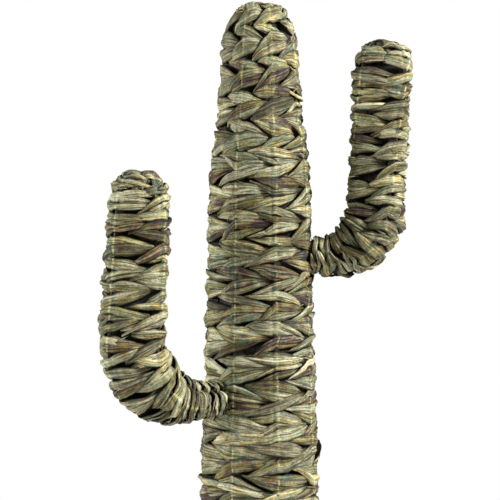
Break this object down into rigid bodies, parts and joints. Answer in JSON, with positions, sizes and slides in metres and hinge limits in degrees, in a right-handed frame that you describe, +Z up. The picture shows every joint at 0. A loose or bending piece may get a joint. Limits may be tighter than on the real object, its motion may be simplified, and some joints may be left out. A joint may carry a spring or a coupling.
{
  "type": "woven cactus ornament",
  "caption": "Free-standing branching saguaro figure of green dyed leaf strips woven over a ribbed cage of steel rods, on a round base plate.",
  "frame": {"origin": "middle of the flat underside of the round base plate", "axes": "+Z up along the trunk, +X to the viewer's right when the figure is seen from its front, -Y towards the front"},
  "size_m": [0.3877, 0.248, 0.9],
  "materials": {
    "leaf_weave": "matte",
    "cage_steel": "satin",
    "base_steel": "satin"
  },
  "bodies": {
    "root": {"base_plate": "base_steel", "trunk_rod_1": "cage_steel", "trunk_rod_2": "cage_steel", "trunk_rod_3": "cage_steel", "trunk_rod_4": "cage_steel", "trunk_rod_5": "cage_steel", "trunk_rod_6": "cage_steel", "trunk_rod_7": "cage_steel", "trunk_rod_8": "cage_steel", "trunk_hoop_1": "cage_steel", "trunk_hoop_2": "cage_steel", "trunk_hoop_3": "cage_steel", "trunk_hoop_4": "cage_steel", "trunk_crown_disc": "cage_steel", "trunk_weave_button": "leaf_weave", "trunk_weave_1": "leaf_weave", "trunk_weave_2": "leaf_weave", "trunk_weave_3": "leaf_weave", "trunk_weave_4": "leaf_weave", "trunk_weave_5": "leaf_weave", "trunk_weave_6": "leaf_weave", "trunk_weave_7": "leaf_weave", "trunk_weave_8": "leaf_weave", "left_arm_rod_1": "cage_steel", "left_arm_rod_2": "cage_steel", "left_arm_rod_3": "cage_steel", "left_arm_rod_4": "cage_steel", "left_arm_hoop_1": "cage_steel", "left_arm_hoop_2": "cage_steel", "left_arm_hoop_3": "cage_steel", "left_arm_plate": "cage_steel", "left_arm_crown_disc": "cage_steel", "left_arm_weave_button": "leaf_weave", "left_arm_weave_1": "leaf_weave", "left_arm_weave_2": "leaf_weave", "left_arm_weave_3": "leaf_weave", "left_arm_weave_4": "leaf_weave", "right_arm_rod_1": "cage_steel", "right_arm_rod_2": "cage_steel", "right_arm_rod_3": "cage_steel", "right_arm_rod_4": "cage_steel", "right_arm_hoop_1": "cage_steel", "right_arm_hoop_2": "cage_steel", "right_arm_hoop_3": "cage_steel", "right_arm_plate": "cage_steel", "right_arm_crown_disc": "cage_steel", "right_arm_weave_button": "leaf_weave", "right_arm_weave_1": "leaf_weave", "right_arm_weave_2": "leaf_weave", "right_arm_weave_3": "leaf_weave", "right_arm_weave_4": "leaf_weave"}
  },
  "joints": []
}
